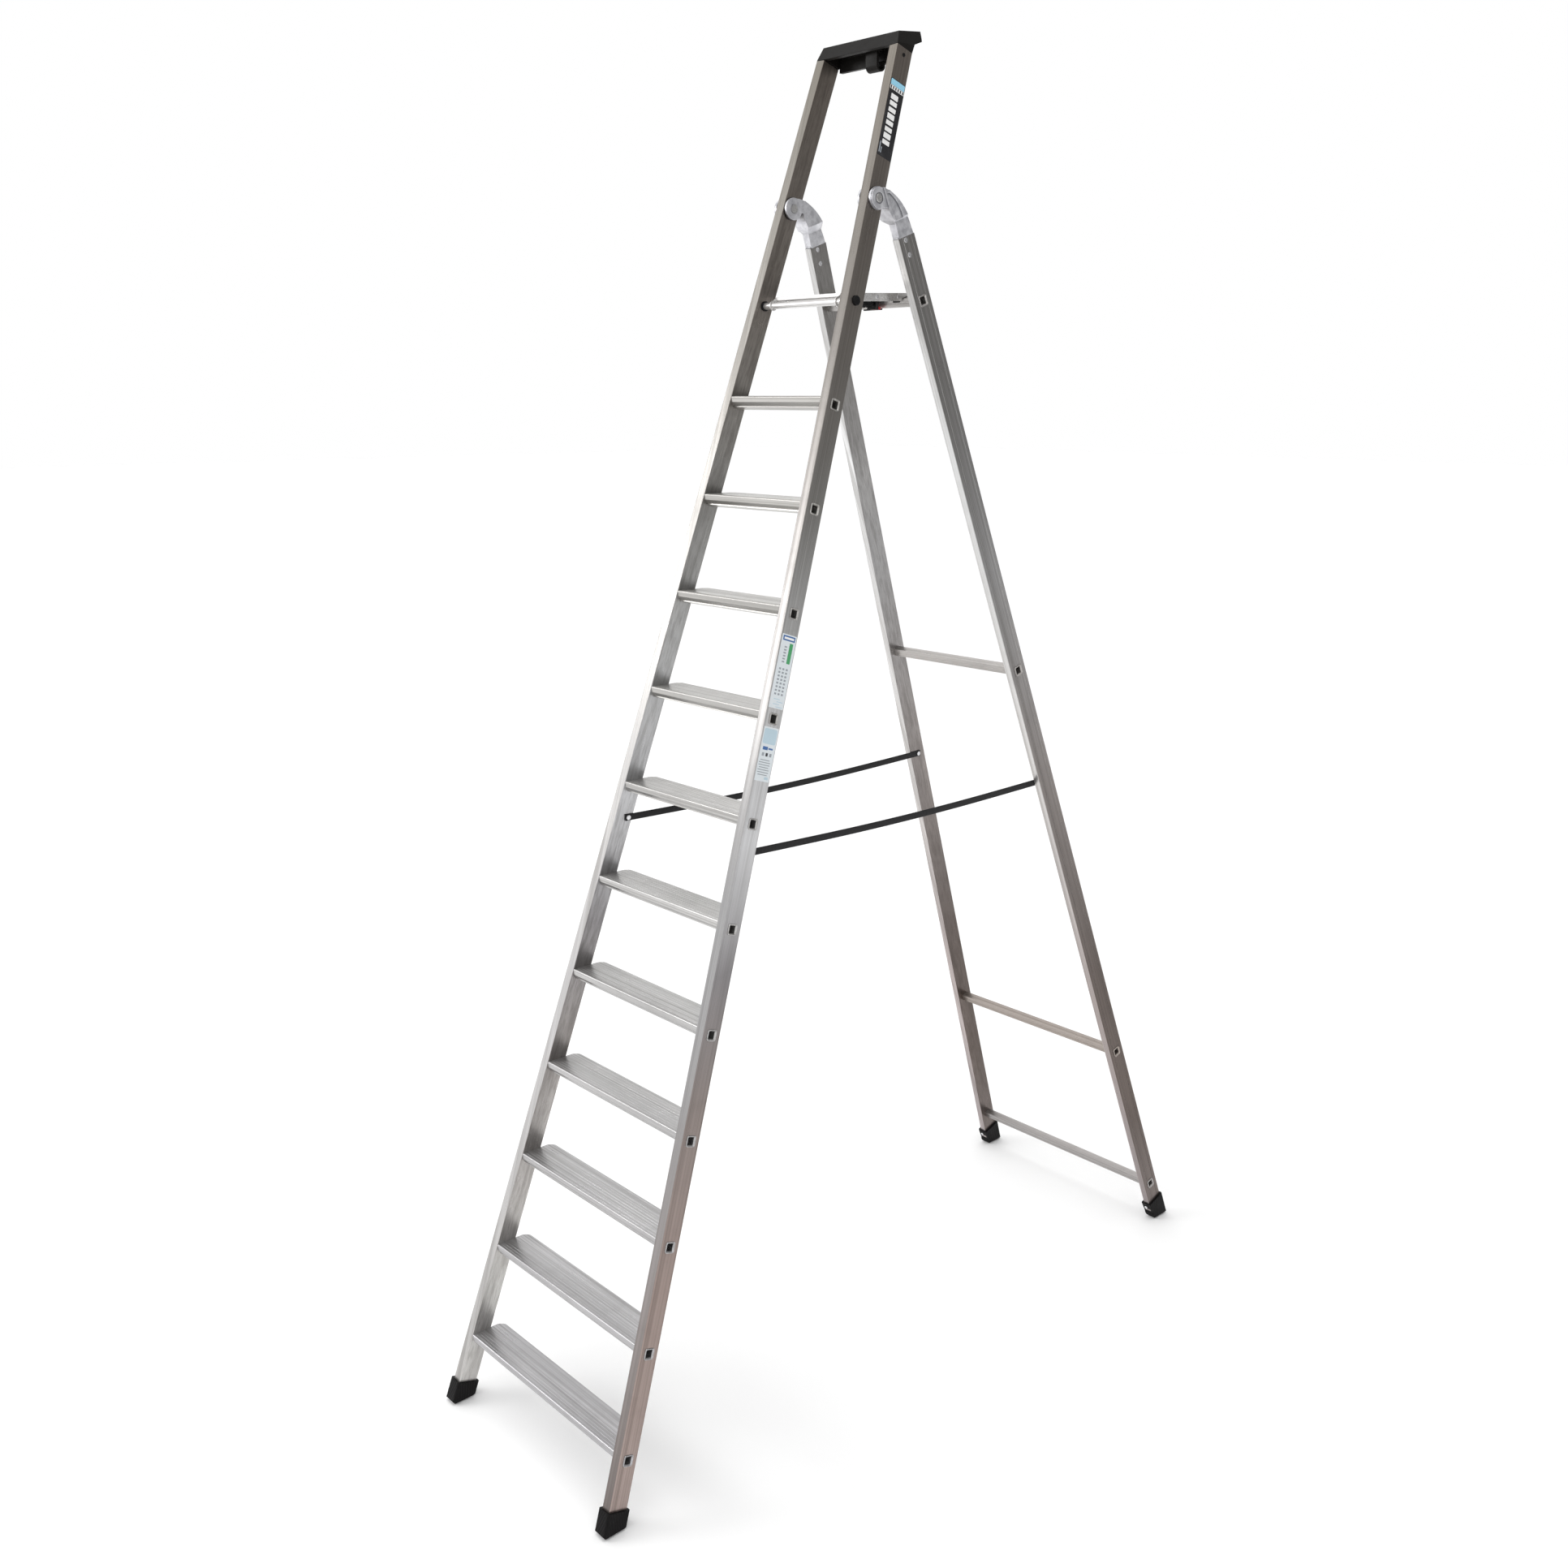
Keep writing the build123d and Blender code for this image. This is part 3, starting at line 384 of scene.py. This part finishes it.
def film(name, tone, rough=0.28):
    """Printed vinyl film: slightly orange-peeled, with scuffs."""
    n = Nodes(name)
    peel = n.noise(n.where, 240, 2, 0.5)
    scuff = n.noise(n.mapped(scale=(500, 60, 60)), 1.0, 4, 0.7)
    fade = n.noise(n.where, 18, 3, 0.5)
    base = n.mix(n.grey(fade, 0.0, 0.25, 0.4, 0.7), (*tone, 1), (*[0.75 * c + 0.06 for c in tone], 1))
    base = n.mix(n.grey(scuff, 0.0, 0.3, 0.62, 0.8), base, (*[0.5 * c + 0.25 for c in tone], 1))
    return n.done(base, 0.0, n.grey(scuff, rough, rough + 0.25, 0.4, 0.8), n.bump(peel, 0.12, 0.0002))


alloy = casting()
rivet_steel = steel("rivet_steel", (0.78, 0.78, 0.8), 0.22)
axle_steel = steel("axle_steel", (0.62, 0.61, 0.6), 0.3)
wire_steel = steel("spring_wire", (0.42, 0.42, 0.44), 0.3)
black = plastic("black_moulding", (0.005, 0.005, 0.0055), (0.012, 0.012, 0.012), 0.42, 0.0, 0.14)
tray_black = plastic("tray_moulding", (0.006, 0.0053, 0.0046), (0.013, 0.0115, 0.01), 0.4, 0.0, 0.13)
rubber = plastic("foot_rubber", (0.0045, 0.004, 0.0042), (0.011, 0.01, 0.0105), 0.5, 60, 0.11)


def two_tone():
    """Release lever: a black moulding with its gripping edge in red."""
    n = Nodes("release_lever")
    grain = n.voronoi(n.where, 1500)
    cloud = n.noise(n.where, 60, 4, 0.6)
    spot = n.split(n.where)
    line = n.maths("ADD", spot[2], n.grey(cloud, -0.0004, 0.0004))
    low = n.grey(line, 1.0, 0.0, 2.7702, 2.7708)
    rear = n.grey(spot[1], 0.0, 1.0, 0.0505, 0.0512)
    lip = n.maths("MULTIPLY", low, rear)
    tone = n.mix(n.grey(cloud, 0.0, 0.6, 0.3, 0.8), (0.5, 0.012, 0.014, 1), (0.62, 0.035, 0.035, 1))
    base = n.mix(lip, (0.006, 0.006, 0.0065, 1), tone)
    return n.done(base, 0.0, n.grey(cloud, 0.3, 0.45), n.bump(grain, 0.3, 0.0002, n.edge(0.001)))


red = two_tone()
dark_film = film("film_dark", (0.006, 0.006, 0.008))
pale_film = film("film_pale", (0.72, 0.77, 0.8))


def paint(material, *names):
    for name in names:
        data = nodes[name].data
        data.materials.clear()
        data.materials.append(material)


sides = ("right", "left")
paint(stile_metal, "stile_front_right")
paint(far_stile_metal, "stile_front_left")
paint(rear_metal, "stile_rear_right", "stile_rear_left")
paint(tread_metal, *["tread_%02d" % i for i in range(1, 12)])
paint(deck_metal, "platform_deck", "platform_tube", "platform_side_right", "platform_side_left")
paint(bar_metal, "rear_bar_platform", "rear_bar_upper", "rear_bar_middle", "rear_bar_lower")
paint(alloy, "hinge_arm_right", "hinge_arm_left")
paint(axle_steel, "hinge_pin_right", "hinge_pin_left", "platform_axle", "catch_pin")
paint(rivet_steel, "hinge_rivets", "platform_rivets", "strap_rivets_front", "strap_rivets_rear")
paint(rivet_steel, "hook_screws", "foot_rear_rivets")
paint(black, "tray_rivets")
paint(wire_steel, "catch_spring")
paint(tray_black, "tool_tray", "bucket_hook")
paint(rubber, *["foot_%s_%s" % (a, b) for a in ("front", "rear") for b in sides])
paint(black, *["%s_%s" % (a, b) for a in ("hinge_bush", "platform_bush", "axle_cap") for b in sides])
paint(black, "platform_hook_right", "platform_hook_left", "platform_catch")
paint(red, "catch_lever")
paint(dark_film, "name_label")
paint(pale_film, "instruction_label_upper", "instruction_label_lower")


# ------------------------------------------------------------------ webbing straps


def new_object(name, bm, *materials):
    mesh = bpy.data.meshes.new(name)
    bmesh.ops.recalc_face_normals(bm, faces=bm.faces)
    bm.to_mesh(mesh)
    bm.free()
    obj = bpy.data.objects.new(name, mesh)
    bpy.context.scene.collection.objects.link(obj)
    for material in materials:
        mesh.materials.append(material)
    for face in mesh.polygons:
        face.use_smooth = True
    return obj


def centre_line(points):
    """The points down a smooth spline with these control points."""
    curve = bpy.data.curves.new("route", "CURVE")
    curve.dimensions = "3D"
    curve.resolution_u = 24
    spline = curve.splines.new("NURBS")
    spline.points.add(len(points) - 1)
    for item, point in zip(spline.points, points):
        item.co = (*point, 1)
    spline.order_u = 3
    spline.use_endpoint_u = True
    holder = bpy.data.objects.new("route", curve)
    mesh = bpy.data.meshes.new_from_object(holder)
    line = [v.co.copy() for v in mesh.vertices]
    bpy.data.meshes.remove(mesh)
    bpy.data.objects.remove(holder)
    bpy.data.curves.remove(curve)
    return line


def ribbon(bm, line, width, thick, normal):
    """A flat band along the line, thin along normal, with softly rounded selvedges."""
    half, deep = width / 2, thick / 2
    section = [
        (-half, -deep * 0.35),
        (-half * 0.93, -deep),
        (-half * 0.3, -deep * 1.06),
        (half * 0.3, -deep * 1.06),
        (half * 0.93, -deep),
        (half, -deep * 0.35),
        (half, deep * 0.35),
        (half * 0.93, deep),
        (half * 0.3, deep * 1.06),
        (-half * 0.3, deep * 1.06),
        (-half * 0.93, deep),
        (-half, deep * 0.35),
    ]
    rings = []
    for i, point in enumerate(line):
        ahead = line[min(i + 1, len(line) - 1)] - line[max(i - 1, 0)]
        wide = normal.cross(ahead).normalized()
        thin = ahead.cross(wide).normalized()
        rings.append([bm.verts.new(point + wide * w + thin * t) for w, t in section])
    for a, b in zip(rings, rings[1:]):
        for i in range(len(section)):
            j = (i + 1) % len(section)
            bm.faces.new((a[i], a[j], b[j], b[i]))
    bm.faces.new(rings[0])
    bm.faces.new(list(reversed(rings[-1])))


STRAP_WIDTH = 0.0175
strap_cloth = webbing()
ROUTE = (
    (0.22301, -0.56515, 1.50920),
    (0.22517, -0.34620, 1.50240),
    (0.22733, -0.12720, 1.49800),
    (0.22950, 0.09180, 1.49740),
    (0.23166, 0.31080, 1.50060),
    (0.23382, 0.52976, 1.50664),
)
for side, sign in (("right", 1), ("left", -1)):
    points = [Vector((sign * x, y, z)) for x, y, z in ROUTE]
    line = centre_line(points)
    normal = (points[-1] - points[0]).cross(Vector((0, 0, 1))).normalized() * sign
    run = (points[-1] - points[0]).normalized()
    first = [line[0] - run * t for t in (0.0088, 0.0045)]
    last = [line[-1] + run * t for t in (0.0045, 0.0088)]
    bm = bmesh.new()
    ribbon(bm, first + line + last, STRAP_WIDTH, 0.0015, normal)
    strap = new_object("strap_web_" + side, bm, strap_cloth)
    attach(strap, "front_frame")
    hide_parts("strap_" + side)
    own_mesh(strap)


# ------------------------------------------------------------------ printing on the films


INK_LIFT = 0.00034


def print_on(name, bars, centre_up, materials):
    """Plain printed bars and boxes lying on a film: (across, up, width, height, material)."""
    middle = FRONT_AT + FRONT_UP * centre_up
    across = FRONT_UP.cross(FRONT_OUT).normalized()
    bm = bmesh.new()
    for x, y, w, h, material in bars:
        outline = []
        round_by = min(w, h) * 0.12
        for start, sx, sy in ((180, -1, -1), (270, 1, -1), (0, 1, 1), (90, -1, 1)):
            cx, cy = x + sx * (w / 2 - round_by), y + sy * (h / 2 - round_by)
            for step in (0, 45, 90):
                turn = math.radians(start + step)
                outline.append((cx + round_by * math.cos(turn), cy + round_by * math.sin(turn)))
        rings = []
        lift = INK_LIFT + 0.00004 * material
        for height in (0.0002, lift):
            flat = middle + FRONT_OUT * height
            rings.append([bm.verts.new(flat + across * a + FRONT_UP * b) for a, b in outline])
        faces = [bm.faces.new(rings[1]), bm.faces.new(list(reversed(rings[0])))]
        for i in range(len(outline)):
            j = (i + 1) % len(outline)
            faces.append(bm.faces.new((rings[0][i], rings[0][j], rings[1][j], rings[1][i])))
        for face in faces:
            face.material_index = material
    bmesh.ops.recalc_face_normals(bm, faces=bm.faces)
    mesh = bpy.data.meshes.new(name)
    bm.to_mesh(mesh)
    bm.free()
    obj = bpy.data.objects.new(name, mesh)
    bpy.context.scene.collection.objects.link(obj)
    for material in materials:
        mesh.materials.append(material)
    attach(obj, "front_frame")
    return obj


ink_white = film("ink_white", (0.85, 0.85, 0.84))
ink_sky = film("ink_sky", (0.3, 0.62, 0.8))
ink_dark = film("ink_dark", (0.02, 0.02, 0.025))
ink_grey = film("ink_grey", (0.32, 0.35, 0.38))
ink_blue = film("ink_blue", (0.05, 0.14, 0.36))
ink_green = film("ink_green", (0.05, 0.33, 0.12))
ink_ice = film("ink_ice", (0.5, 0.64, 0.72))

bars = [(0, 0.0835, 0.047, 0.0135, 1), (0, 0.0715, 0.047, 0.009, 0)]
bars += [(-0.02 + 0.008 * i, 0.0715, 0.004, 0.007, 2) for i in range(6)]
bars += [(-0.003, 0.052 - 0.0155 * i, 0.024, 0.0105 if i % 3 else 0.0125, 0) for i in range(8)]
bars += [(-0.0195, -0.072, 0.003, 0.026, 3), (-0.014, -0.078, 0.003, 0.014, 3)]
print_on("name_label_print", bars, 0.435, [ink_white, ink_sky, ink_dark, ink_grey])

bars = [(0, 0.0785, 0.039, 0.012, 1), (0, 0.0785, 0.031, 0.005, 3), (0.0105, 0.044, 0.011, 0.048, 2)]
bars += [(-0.006, 0.058 - 0.007 * i, 0.008, 0.0035, 0) for i in range(6)]
bars += [(-0.011 + 0.011 * (i % 3), 0.006 - 0.0085 * (i // 3), 0.0065, 0.0045, 0) for i in range(24)]
bars += [(-0.002 + 0.01 * (i % 2), -0.0655 - 0.006 * i, 0.02, 0.0018, 4) for i in range(4)]
print_on("instruction_upper_print", bars, -0.8875, [ink_grey, ink_blue, ink_green, ink_white, ink_ice])

bars = [(0, 0.042, 0.041, 0.036, 4), (-0.008, 0.0135, 0.016, 0.008, 1), (0.009, 0.0135, 0.014, 0.004, 1)]
bars += [(-0.012 + 0.012 * i, -0.001, 0.007, 0.008, 3 if i == 1 else 0) for i in range(3)]
bars += [(-0.002, -0.014 - 0.0058 * i, 0.036 if i % 3 else 0.03, 0.002, 0) for i in range(7)]
bars += [(0.012, -0.056, 0.012, 0.006, 4)]
print_on("instruction_lower_print", bars, -1.084, [ink_grey, ink_blue, ink_green, ink_dark, ink_ice])


# ------------------------------------------------------------------ floor, light and camera


def floor():
    n = Nodes("floor")
    soft = n.noise(n.where, 3, 2, 0.5)
    away = n.tree.nodes.new("ShaderNodeVectorMath")
    away.operation = "LENGTH"
    n.link(n.where, away.inputs[0])
    glow = n.grey(away.outputs["Value"], 0.0, 0.09, 2.0, 6.0)
    base = n.ramp(soft, [(0.3, (0.95, 0.95, 0.95)), (0.7, (0.965, 0.965, 0.965))])
    return n.done(base, 0.0, 0.9, Emission_Color=(1, 1, 1, 1), Emission_Strength=glow)


bm = bmesh.new()
bmesh.ops.create_grid(bm, x_segments=8, y_segments=8, size=60)
ground = new_object("floor", bm, floor())
ground.location.z = -0.0005


def studio():
    """White surroundings with a grey side to the right and rear, which the polished sections mirror."""
    world = bpy.data.worlds.new("studio")
    bpy.context.scene.world = world
    world.use_nodes = True
    tree = world.node_tree
    plain = tree.nodes["Background"]
    plain.inputs[0].default_value = (1, 1, 1, 1)
    plain.inputs[1].default_value = 1.0
    around = tree.nodes.new("ShaderNodeTexCoord").outputs["Generated"]
    toward = tree.nodes.new("ShaderNodeVectorMath")
    toward.operation = "DOT_PRODUCT"
    toward.inputs[1].default_value = (0.72, 0.68, 0.14)
    tree.links.new(around, toward.inputs[0])
    grade = tree.nodes.new("ShaderNodeMapRange")
    grade.interpolation_type = "SMOOTHSTEP"
    for i, value in enumerate((0.3, 0.95, 1.12, 0.34)):
        grade.inputs[1 + i].default_value = value
    tree.links.new(toward.outputs["Value"], grade.inputs[0])
    lit = tree.nodes.new("ShaderNodeBackground")
    lit.inputs[0].default_value = (1, 1, 1, 1)
    tree.links.new(grade.outputs[0], lit.inputs[1])
    path = tree.nodes.new("ShaderNodeLightPath")
    both = tree.nodes.new("ShaderNodeMixShader")
    tree.links.new(path.outputs["Is Camera Ray"], both.inputs[0])
    tree.links.new(lit.outputs[0], both.inputs[1])
    tree.links.new(plain.outputs[0], both.inputs[2])
    tree.links.new(both.outputs[0], tree.nodes["World Output"].inputs[0])


studio()


def lamp(name, place, aim, size, power, colour=(1, 1, 1)):
    data = bpy.data.lights.new(name, "AREA")
    data.shape = "RECTANGLE"
    data.size, data.size_y = size
    data.energy = power
    data.color = colour
    obj = bpy.data.objects.new(name, data)
    bpy.context.scene.collection.objects.link(obj)
    obj.location = place
    obj.rotation_euler = (Vector(aim) - Vector(place)).to_track_quat("-Z", "Y").to_euler()
    return obj


lamp("key", (-4.6, -5.4, 4.4), (0, 0, 1.2), (3.2, 2.0), 110)
lamp("top", (-0.6, -0.8, 7.5), (0, 0, 0), (5.0, 5.0), 90)

turn_angle, tilt = 0.8340, 0.2452  # radians: about the vertical, and the lens pointing this far down
FOCAL, FRAME = 1901.33, 1932  # focal length and frame width in the same unit
back = Vector(
    (math.sin(turn_angle) * math.cos(tilt), -math.cos(turn_angle) * math.cos(tilt), math.sin(tilt))
)
right = Vector((math.cos(turn_angle), math.sin(turn_angle), 0))
up = back.cross(right)
data = bpy.data.cameras.new("camera")
data.sensor_width = 36.0
data.lens = data.sensor_width * FOCAL / FRAME
data.clip_start, data.clip_end = 0.05, 200
camera = bpy.data.objects.new("camera", data)
bpy.context.scene.collection.objects.link(camera)
place = Matrix((right, up, back)).transposed().to_4x4()
place.translation = Vector((2.8622, -2.82656, 2.5488))
camera.matrix_world = place
bpy.context.scene.camera = camera
bpy.context.scene.view_settings.view_transform = "Standard"
